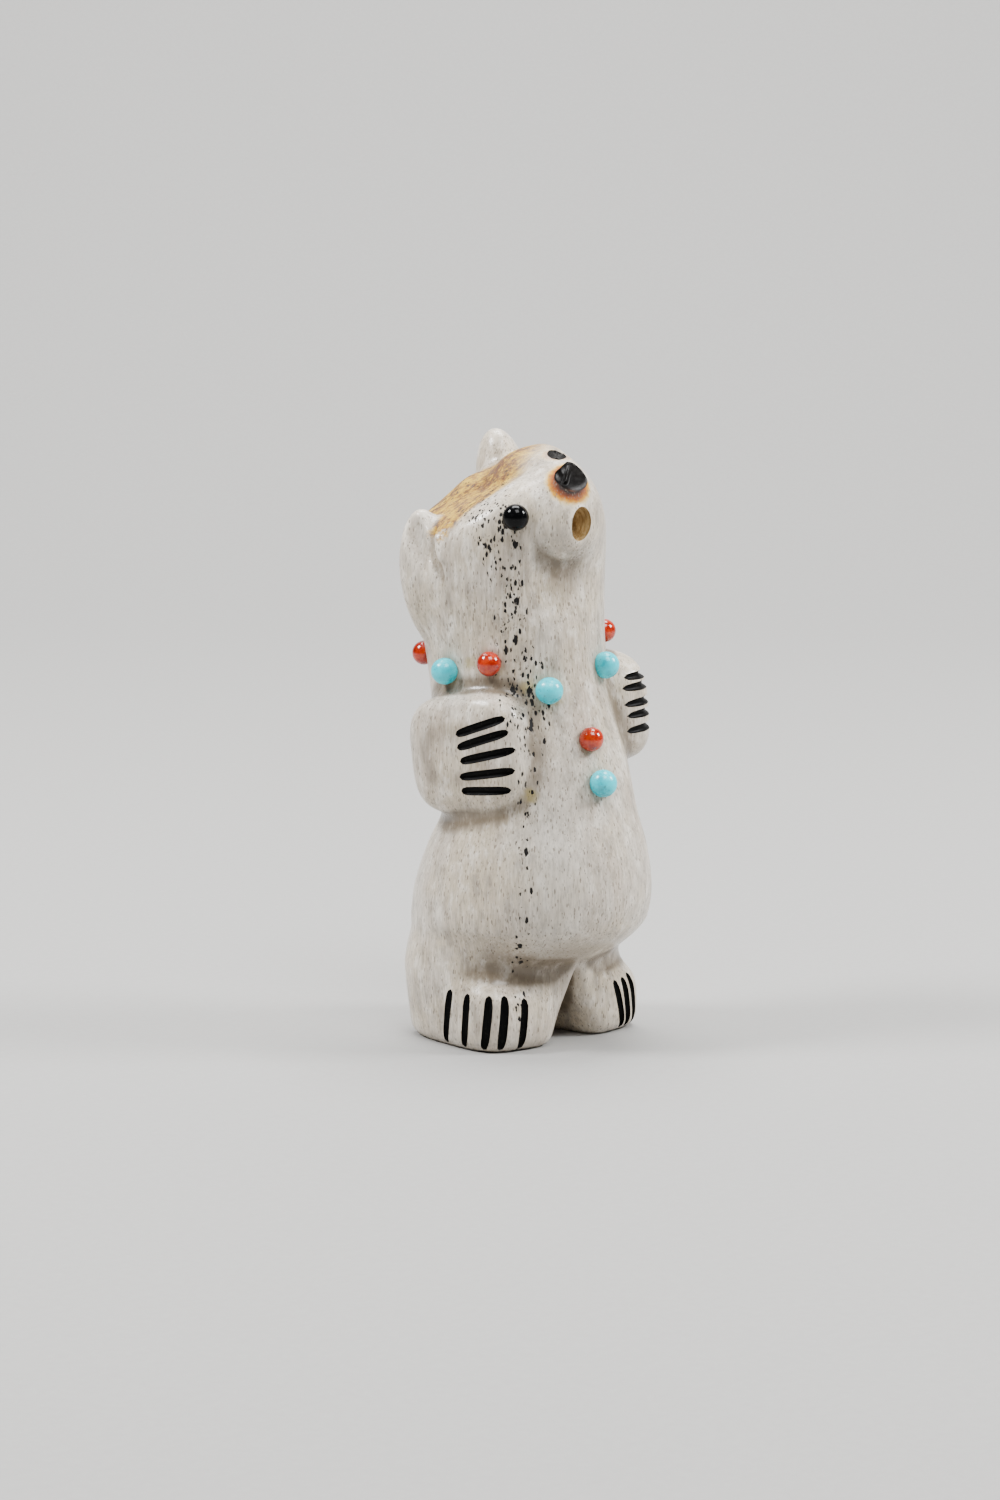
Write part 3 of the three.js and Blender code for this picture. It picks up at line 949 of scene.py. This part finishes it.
STAINS = [
    ((-10.6, -0.4, 46.8), 0.0015, 0.55),
    ((-9.2, -3.6, 46.3), 0.0013, 0.35),
    ((-7.0, -6.6, 44.3), 0.0012, 0.5),
    ((-8.9, -8.9, 31.4), 0.0014, 0.6),
    ((-10.9, -6.3, 41.0), 0.0009, 0.5),
    ((4.9, -8.2, 45.4), 0.0014, 0.3),
    ((-4.2, -8.6, 42.6), 0.0012, 0.35),
    ((-1.3, -10.9, 37.0), 0.0018, 0.35),
    ((-10.9, 2.6, 45.0), 0.0016, 0.3),
]
BURN_STOPS = [
    (0.40, srgb(30, 12, 3)),
    (0.52, srgb(96, 40, 0)),
    (0.62, srgb(146, 76, 0)),
    (0.72, srgb(190, 136, 30)),
    (0.82, srgb(206, 186, 140)),
]


def pore_strip(tree, place):
    """The strip up the right front where the antler's core shows as black pores."""
    parts = tree.add("SeparateXYZ", Vector=place).outputs
    low, high = spot(0, 0, 0), spot(0, 0, PARTS_IN_HEIGHT)
    height = tree.math("DIVIDE", tree.minus(parts[2], low[2]), high[2] - low[2])
    # The ramp's red holds the strip's middle, its green the half width and its blue the density.
    stops = [
        (level / PARTS_IN_HEIGHT, ((centre + 6) / 8, half / 2, density, 1))
        for level, centre, half, density in reversed(PORE_STRIP)
    ]
    read = tree.add("SeparateColor", Color=tree.ramp(height, stops)).outputs
    away = tree.vector("SUBTRACT", place, low)
    aside = tree.math("DIVIDE", tree.vector("DOT_PRODUCT", away, tuple(SEEN_RIGHT)), PART)
    middle = tree.minus(tree.times(read[0], 8.0), 6.0)
    off = tree.math("ABSOLUTE", tree.minus(aside, middle))
    share = tree.math("DIVIDE", off, tree.times(read[1], 2.0))
    front = tree.vector("DOT_PRODUCT", away, (-0.7071, -0.7071, 0))
    dense = tree.times(tree.between(share, 2.2, 0.2), read[2])
    return tree.times(dense, tree.between(front, 0.001, 0.004))


def antler_tints(tree, place, antler, grain):
    """The antler's colour: broad tints, clouds and grain, a paler belly that is partly painted
    light, grime and painted shade in the hollows, painted shade under the belly, and pale edges
    that are partly wear and partly painted highlight."""
    bands = tree.group(streaks_group, Across=240.0, Along=50.0)
    clouds = tree.noise(place, 120.0, 4.0)
    patches = tree.noise(tree.vector("MULTIPLY", place, (1.0, 1.0, 0.55)), 520.0, 5.0, 0.65)
    # A paler, whiter patch down the belly's front: partly the antler's tone and partly painted
    # light, the brighter lit middle of the belly.
    belly = patch(tree, spot(-7.5, -12.0, 24), (0.008, 0.008, 0.022), 0.9)
    # Painted shade: a dark band under the belly, in the crease above the feet that the belly's
    # overhang shades.
    painted_shade_under_belly = patch(tree, spot(-5.5, -9.5, 12.0), (0.013, 0.013, 0.003), 0.95)
    grime_and_shade_patches = tree.between(patches, 0.3, 0.6, 0.6, 0.95)
    colour = tree.mix(tree.between(bands, 0.34, 0.66), tinted(antler, 0.86, 0.80, 0.74), antler)
    washes = [
        (tree.between(clouds, 0.42, 0.62, 0.0, 0.9), (0.98, 0.92, 0.80)),
        (tree.between(patches, 0.50, 0.66, 0.0, 0.8), (0.60, 0.57, 0.54)),
        (tree.between(patches, 0.48, 0.34, 0.0, 0.8), (1.34, 1.36, 1.38)),
        (tree.times(belly, 0.6), (1.12, 1.16, 1.20)),
        (tree.between(grain, 0.52, 0.32, 0.0, 0.42), (0.46, 0.42, 0.37)),
        (tree.between(grain, 0.52, 0.70, 0.0, 0.5), (1.4, 1.42, 1.45)),
        (tree.times(painted_shade_under_belly, 0.6), (0.42, 0.38, 0.32)),
        # Grime and painted shade: the hollows darkened in ragged patches.
        (tree.times(tree.mark("hollow"), grime_and_shade_patches), (0.28, 0.24, 0.19)),
        # Pale tight edges: partly wear and partly a painted highlight along the ridges.
        (tree.times(tree.mark("edge"), 0.5), (1.3, 1.3, 1.28)),
    ]
    return tree.washed(colour, antler, washes)


def bark_tints(tree, place, bark):
    """The bark's colour: streaked and specked ochre, darkest in the middle of the crown."""
    slant = (0.28, -0.48, 0.75)
    turn = tree.add("VectorRotate", {"rotation_type": "EULER_XYZ"}, Vector=place, Rotation=slant)
    along = tree.vector("MULTIPLY", turn.outputs[0], (420.0, 1900.0, 1900.0))
    fibres = tree.noise(along, 1.0, 6.0, 0.75)
    patchy = tree.noise(place, 480.0, 5.0, 0.7)
    mottle = tree.plus(tree.times(fibres, 0.5), tree.times(patchy, 0.5))
    stops = [
        (0.41, tinted(bark, 0.14, 0.07, 0.03)),
        (0.455, tinted(bark, 0.56, 0.44, 0.2)),
        (0.50, tinted(bark, 1.35, 1.5, 1.4)),
        (0.57, tinted(bark, 2.1, 2.8, 5.0)),
    ]
    dark = patch(tree, spot(-0.7, 4.9, 69.2), (0.0056, 0.0056, 0.0045), 0.9, 0.8)
    dark = tree.times(dark, tree.between(mottle, 0.60, 0.46, 0.25, 1.0))
    specks = tree.group(flecks_group, Across=1500.0, Along=1400.0, Share=0.45, Fill=0.36)
    washes = [(dark, (0.36, 0.15, 0.10)), (tree.times(specks, 0.85), (0.10, 0.05, 0.03))]
    return tree.washed(tree.ramp(mottle, stops), bark, washes)


def antler_material(finish):
    """Polished antler: grained and flecked, with a strip of black pores, ochre bark left on the
    crown, grime and painted shade in the hollows, glue stains and a burnt edge round the nostrils."""
    material, tree, shader = new_material("antler")
    place = tree.place()
    antler = tinted(finish.antler)
    grain = tree.group(streaks_group, Across=2900.0, Along=300.0)
    colour = antler_tints(tree, place, antler, grain)

    # Bark on the crown, with a ragged edge
    level = tree.mark("crown")
    can_bark = tree.mark("barked")
    ragged = tree.minus(tree.noise(place, 620.0, 6.0, 0.75), 0.5)
    bark = tree.between(tree.plus(level, tree.times(ragged, 5.0)), -1.5, -0.5)
    bark = tree.times(bark, can_bark)
    ochre = bark_tints(tree, place, tinted(finish.bark))
    colour = tree.mix(tree.times(bark, 0.92), colour, ochre)

    # A darker ring round each bead, partly grime and glue and partly painted shade where the bead
    # meets the antler, and glue stains round the beads
    for node in sum(BEADS.values(), []):
        low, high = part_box(node)
        reach = max(high - low) * 0.74
        ring = patch(tree, tuple((low + high) / 2), (reach, reach, reach), 0.4)
        colour = tree.mix(tree.times(ring, 0.5), colour, tinted(antler, 0.5, 0.44, 0.34))
    for centre, reach, strength in STAINS:
        stain = patch(tree, spot(*centre), (reach, reach, reach), 0.8, 1.1)
        colour = tree.mix(tree.times(stain, strength), colour, srgb(150, 132, 50))

    # The burnt edges of the nostrils
    scorched = 0.0
    for centre, reach, strength in BURNS:
        burn = tree.group(burn_group, Centre=spot(*centre), Reach=reach)
        scorch = tree.between(burn, 1.14, 0.98, 0.0, strength)
        scorched = tree.most(scorched, scorch)
        colour = tree.mix(scorch, colour, tree.ramp(tree.times(burn, 0.8), BURN_STOPS))

    # A painted highlight on the mouth's polished lip, and fine flecks everywhere
    lip_highlight = patch(tree, spot(*MOUTH_MIDDLE), (0.0021, 0.0021, 0.0029), 0.3)
    fine = tree.group(flecks_group, Across=4300.0, Along=1400.0, Share=0.32, Fill=0.42)
    hair = tree.group(flecks_group, Across=6400.0, Along=1100.0, Share=0.35, Fill=0.5)
    washes = [
        (tree.times(lip_highlight, 0.55), (1.5, 1.48, 1.42)),
        (tree.times(fine, 0.65), (0.24, 0.20, 0.16)),
        (tree.times(hair, 0.35), (0.3, 0.27, 0.22)),
    ]
    colour = tree.washed(colour, antler, washes)

    # Large and small pores in their strip, and dots below the bark
    below_bark = tree.times(tree.between(level, -3.4, -1.8), tree.between(level, -0.3, -1.2))
    below_bark = tree.times(below_bark, can_bark)
    crowd = tree.between(tree.noise(place, 300.0, 2.0), 0.42, 0.56, 0.5, 1.25)
    strip = tree.times(pore_strip(tree, place), crowd)
    pores = 0.0
    for across, along, share, fill in (
        (1150.0, 620.0, tree.times(strip, 0.66), 0.40),
        (2300.0, 1150.0, tree.times(strip, 1.1), 0.44),
        (1350.0, 1100.0, tree.times(below_bark, 0.6), 0.30),
    ):
        dots = tree.group(flecks_group, Across=across, Along=along, Share=share, Fill=fill)
        pores = tree.most(pores, dots)
    colour = tree.mix(pores, colour, srgb(16, 13, 12))

    dull = tree.most(tree.most(pores, bark), scorched)
    height = tree.minus(tree.times(grain, 0.12), pores)
    height = tree.minus(height, tree.times(fine, 0.25))
    height = tree.plus(height, tree.times(tree.noise(place, 260.0, 2.0), 0.8))
    tree.fill(
        shader,
        Base_Color=colour,
        Roughness=tree.plus(tree.between(grain, 0.3, 0.7, 0.40, 0.26), tree.times(dull, 0.25)),
        Normal=tree.bump(height, 0.5, 0.0002),
        Specular_IOR_Level=0.25,
        Coat_Weight=tree.times(tree.minus(1.0, dull), 0.3),
        Coat_Roughness=0.14,
    )
    return material


def ink_material():
    """Black filling of the claw strokes."""
    material, tree, shader = new_material("claw_black")
    dust = tree.noise(tree.place(), 2600.0, 4.0)
    tree.fill(
        shader,
        Base_Color=tree.mix(tree.between(dust, 0.55, 0.8), srgb(7, 7, 7), srgb(40, 37, 33)),
        Roughness=tree.between(dust, 0.3, 0.7, 0.36, 0.55),
        Normal=tree.bump(dust, 0.25, 0.0001),
        Specular_IOR_Level=0.06,
    )
    return material


def burnt_material():
    """Glossy black scorch in the nostrils, brown towards the lower rim."""
    material, tree, shader = new_material("burnt_nostril")
    grain = tree.noise(tree.place(), 2400.0, 4.0)
    low = tree.group(burn_group, Centre=spot(*BURN_LOW), Reach=2 * MM)
    stops = [(0.45, srgb(64, 27, 3)), (0.62, srgb(28, 13, 5)), (0.85, srgb(9, 7, 6))]
    tree.fill(
        shader,
        Base_Color=tree.ramp(low, stops),
        Roughness=tree.between(grain, 0.3, 0.7, 0.30, 0.42),
        Normal=tree.bump(grain, 0.1, 0.0001),
        Specular_IOR_Level=0.08,
    )
    return material


def mouth_material():
    """The drilled mouth: raw tan core, streaked down its wall."""
    material, tree, shader = new_material("mouth_core")
    grain = tree.group(streaks_group, Across=2200.0, Along=700.0)
    tans = srgb(138, 108, 62), srgb(186, 160, 112)
    tree.fill(
        shader,
        Base_Color=tree.mix(tree.between(grain, 0.35, 0.7), *tans),
        Roughness=tree.between(grain, 0.3, 0.7, 0.7, 0.5),
        Normal=tree.bump(grain, 0.4, 0.0001),
    )
    return material


def jet_material(finish):
    """Polished jet, with faint scuffs."""
    material, tree, shader = new_material("jet")
    scuff = tree.noise(tree.place(), 2400.0, 5.0, 0.7)
    jet = tinted(finish.jet)
    tree.fill(
        shader,
        Base_Color=tree.mix(tree.between(scuff, 0.55, 0.85), jet, tinted(jet, 4, 4, 4)),
        Roughness=tree.between(scuff, 0.4, 0.8, 0.05, 0.14),
        Specular_IOR_Level=0.12,
    )
    return material


def coral_material(finish):
    """Orange-red coral with paler veins and clouds, and a pale patch on the front bead."""
    material, tree, shader = new_material("coral")
    place = tree.place()
    coral = tinted(finish.coral)
    clouds = tree.noise(place, 700.0, 4.0, 0.6)
    veins = tree.noise(place, 1500.0, 2.0)
    line = tree.between(tree.math("ABSOLUTE", tree.minus(veins, 0.5)), 0.03, 0.0)
    stops = [
        (0.32, tinted(coral, 0.42, 0.25, 0.25)),
        (0.46, tinted(coral, 0.8, 0.7, 0.7)),
        (0.58, tinted(coral, 1.15, 1.9, 1.0)),
        (0.74, tinted(coral, 1.35, 5.0, 3.0)),
    ]
    pale = patch(tree, spot(-5.4, -10.2, 38.4), (0.0011, 0.0011, 0.0013), 0.8)
    colour = tree.mix(tree.times(line, 0.3), tree.ramp(clouds, stops), tinted(coral, 1.4, 5.5, 7.5))
    tree.fill(
        shader,
        Base_Color=tree.mix(tree.times(pale, 0.5), colour, srgb(226, 190, 170)),
        Roughness=tree.between(clouds, 0.3, 0.7, 0.14, 0.24),
        Coat_Weight=0.4,
        Coat_Roughness=0.06,
    )
    return material


def turquoise_material(finish):
    """Sky-blue turquoise, clouded paler and greener."""
    material, tree, shader = new_material("turquoise")
    turquoise = tinted(finish.turquoise)
    clouds = tree.noise(tree.place(), 520.0, 4.0, 0.6)
    stops = [
        (0.30, tinted(turquoise, 0.40, 0.62, 0.66)),
        (0.45, turquoise),
        (0.60, tinted(turquoise, 1.6, 1.22, 1.2)),
        (0.78, tinted(turquoise, 3.6, 1.45, 1.4)),
    ]
    pits = tree.group(flecks_group, Across=2600.0, Along=2200.0, Share=0.12, Fill=0.3)
    colour = tree.mix(tree.times(pits, 0.5), tree.ramp(clouds, stops), srgb(70, 96, 92))
    tree.fill(
        shader,
        Base_Color=colour,
        Roughness=tree.between(clouds, 0.3, 0.7, 0.24, 0.36),
        Normal=tree.bump(clouds, 0.15, 0.0002),
        Coat_Weight=0.2,
        Coat_Roughness=0.12,
    )
    return material


def colour_property(name, what, colour):
    return FloatVectorProperty(
        name=name, description=what, default=colour[:3], size=3, min=0, max=1, subtype="COLOR"
    )


class BEAR_PG_finish(bpy.types.PropertyGroup):
    """Colours of the finishes."""

    antler: colour_property("Antler", "The antler's main colour", srgb(200, 192, 180))
    bark: colour_property("Bark", "The ochre bark left on the crown", srgb(140, 98, 10))
    coral: colour_property("Coral", "The coral beads' main colour", srgb(178, 32, 0))
    turquoise: colour_property("Turquoise", "The turquoise beads' main colour", srgb(8, 200, 216))
    jet: colour_property("Jet", "The eyes' colour", srgb(7, 7, 8))


class BEAR_PG_stage(bpy.types.PropertyGroup):
    """Sizes of the stage."""

    azimuth: angle_property("Azimuth", "Camera's turn from the bear's front, towards its left", -45)
    elevation: angle_property("Elevation", "Camera's height angle", 7.5)
    distance: length_property("Distance", "Camera's distance", 450 * MM)


# The photo's frame, and how the figure lies in it
IMAGE_HEIGHT = 1500
IMAGE_MIDDLE = (500, 750)
FIGURE_PX_PER_MM = 7.943
AIM_PX = (530, 735.1)
AIM_HEIGHT = 38 * MM
SENSOR = 36.0


# Lamps round the bear: how far to the camera's right, up and towards it, then power and size
LAMPS = [
    ("left_lamp", -0.66, 0.72, 0.10, 5.5, 0.16),
    ("right_lamp", 0.80, 0.56, 0.02, 5.0, 0.16),
    ("front_lamp", 0.2, 0.84, 0.50, 3.0, 0.26),
]
LAMP_DISTANCE = 0.6
LAMP_AIM_HEIGHT = 0.04

# The lamp over the backdrop, behind the bear: its place, its beam's slope, its power and its size
BACKDROP_LAMP = {"height": 1.3, "behind": 0.45, "lean": 0.5, "rise": 0.8, "power": 48, "size": 0.8}


def camera_axes(stage):
    """The directions from the bear to the camera and to the camera's right."""
    a, e = stage.azimuth, stage.elevation
    back = Vector((math.sin(a) * math.cos(e), -math.cos(a) * math.cos(e), math.sin(e)))
    return back, Vector((math.cos(a), math.sin(a), 0))


def pick_edge(piece, wanted):
    """Selects the first edge of a piece in edit mode that is wanted."""
    mesh = bmesh.from_edit_mesh(piece.data)
    edge = next(edge for edge in mesh.edges if wanted(edge))
    bpy.ops.mesh.select_all(action="DESELECT")
    edge.select_set(True)
    mesh.select_flush_mode()
    bmesh.update_edit_mesh(piece.data)


def sweep(right, back, half_width=3.0, behind=1.0, before=2.0, height=2.2, bend=0.5):
    """A sheet that lies flat under the bear and curves up behind it."""
    bpy.ops.mesh.primitive_plane_add(size=2)
    floor = added("floor")
    x, y, _ = corners_of(floor).T
    depth = np.where(y > 0, behind, -before)
    across, along = np.array(right), -np.array([back.x, back.y, 0]) / math.hypot(back.x, back.y)
    put_corners(floor, x[:, None] * across * half_width + depth[:, None] * along)
    only(floor)
    bpy.ops.object.mode_set(mode="EDIT")
    pick_edge(floor, lambda edge: all(v.co.dot(Vector(along)) > 0 for v in edge.verts))
    bpy.ops.mesh.extrude_region_move(TRANSFORM_OT_translate={"value": (0, 0, height)})
    pick_edge(
        floor,
        lambda edge: len(edge.link_faces) == 2 and all(abs(v.co.z) < 1e-6 for v in edge.verts),
    )
    bpy.ops.mesh.bevel(offset=bend, segments=16, profile=0.5)
    bpy.ops.object.mode_set(mode="OBJECT")
    bpy.ops.object.shade_smooth()
    return floor


def add_lamp(name, place, beam, power, size):
    """A square lamp at a place, that shines against the beam's direction."""
    bpy.ops.object.light_add(type="AREA", location=place)
    lamp = added(name)
    lamp.data.energy = power
    lamp.data.size = size
    lamp.rotation_euler = beam.to_track_quat("Z", "Y").to_euler()


def floor_and_lights(scene, back, right):
    """A pale sweep that the bear stands on, a dim room and soft lamps on both sides."""
    floor = sweep(right, back)
    material, tree, shader = new_material("floor")
    cloudy = tree.noise(tree.place(), 900.0, 3.0)
    tree.fill(
        shader,
        Base_Color=tree.mix(cloudy, srgb(150, 149, 147), srgb(158, 157, 155)),
        Roughness=0.9,
    )
    floor.data.materials.append(material)
    world = bpy.data.worlds.new("room")
    world.use_nodes = True
    background = world.node_tree.nodes["Background"]
    background.inputs["Color"].default_value = srgb(225, 226, 230)
    background.inputs["Strength"].default_value = 0.1
    scene.world = world
    for name, across, up, toward, power, size in LAMPS:
        away = (right * across + Vector((0, 0, 1)) * up + back * toward).normalized()
        away = away * LAMP_DISTANCE
        add_lamp(name, away + Vector((0, 0, LAMP_AIM_HEIGHT)), away, power, size)
    lamp = BACKDROP_LAMP
    level_back = Vector((back.x, back.y, 0)).normalized()
    place = Vector((0, 0, lamp["height"])) - level_back * lamp["behind"]
    beam = level_back * lamp["lean"] + Vector((0, 0, lamp["rise"]))
    add_lamp("backdrop_lamp", place, beam, lamp["power"], lamp["size"])


class BEAR_OT_stage(bpy.types.Operator):
    """Set up the floor, the soft lights and the camera"""

    bl_idname = "antler_bear.stage"
    bl_label = "Set up stage"

    def execute(self, context):
        stage = context.scene.bear_stage
        back, right = camera_axes(stage)
        floor_and_lights(context.scene, back, right)
        aim = Vector(into_frame(np.zeros(3)))
        aim.z = AIM_HEIGHT
        eye = aim + back * stage.distance
        mm_across = (IMAGE_MIDDLE[0] - AIM_PX[0]) / FIGURE_PX_PER_MM
        mm_up = (AIM_PX[1] - IMAGE_MIDDLE[1]) / FIGURE_PX_PER_MM
        middle = aim + right * mm_across * MM + back.cross(right) * mm_up * MM
        bpy.ops.object.camera_add(location=eye)
        camera = added("camera")
        camera.data.lens = FIGURE_PX_PER_MM * stage.distance / MM * SENSOR / IMAGE_HEIGHT
        camera.data.sensor_width = SENSOR
        camera.data.clip_start = 0.01
        camera.rotation_euler = (eye - middle).to_track_quat("Z", "Y").to_euler()
        context.scene.camera = camera
        return {"FINISHED"}


class BEAR_PT_panel(bpy.types.Panel):
    """The bear's sizes and steps"""

    bl_label = "Antler bear"
    bl_idname = "BEAR_PT_panel"
    bl_space_type = "VIEW_3D"
    bl_region_type = "UI"
    bl_category = "Antler bear"

    def draw(self, context):
        scene = context.scene
        for group in (scene.bear_carving, scene.bear_finish, scene.bear_stage):
            for prop in group.bl_rna.properties:
                if prop.identifier not in {"rna_type", "name"}:
                    self.layout.prop(group, prop.identifier)
        for operator in STEPS:
            self.layout.operator(operator.bl_idname)


STEPS = (BEAR_OT_body, BEAR_OT_eyes, BEAR_OT_beads, BEAR_OT_stage)
CLASSES = (BEAR_PG_carving, BEAR_PG_finish, BEAR_PG_stage, *STEPS, BEAR_PT_panel)


def register():
    for cls in CLASSES:
        bpy.utils.register_class(cls)
    bpy.types.Scene.bear_carving = PointerProperty(type=BEAR_PG_carving)
    bpy.types.Scene.bear_finish = PointerProperty(type=BEAR_PG_finish)
    bpy.types.Scene.bear_stage = PointerProperty(type=BEAR_PG_stage)


def unregister():
    del bpy.types.Scene.bear_carving
    del bpy.types.Scene.bear_finish
    del bpy.types.Scene.bear_stage
    for cls in reversed(CLASSES):
        bpy.utils.unregister_class(cls)


def main():
    register()
    bpy.ops.antler_bear.body()
    bpy.ops.antler_bear.eyes()
    bpy.ops.antler_bear.beads()
    bpy.ops.antler_bear.stage()


if __name__ == "__main__":
    main()
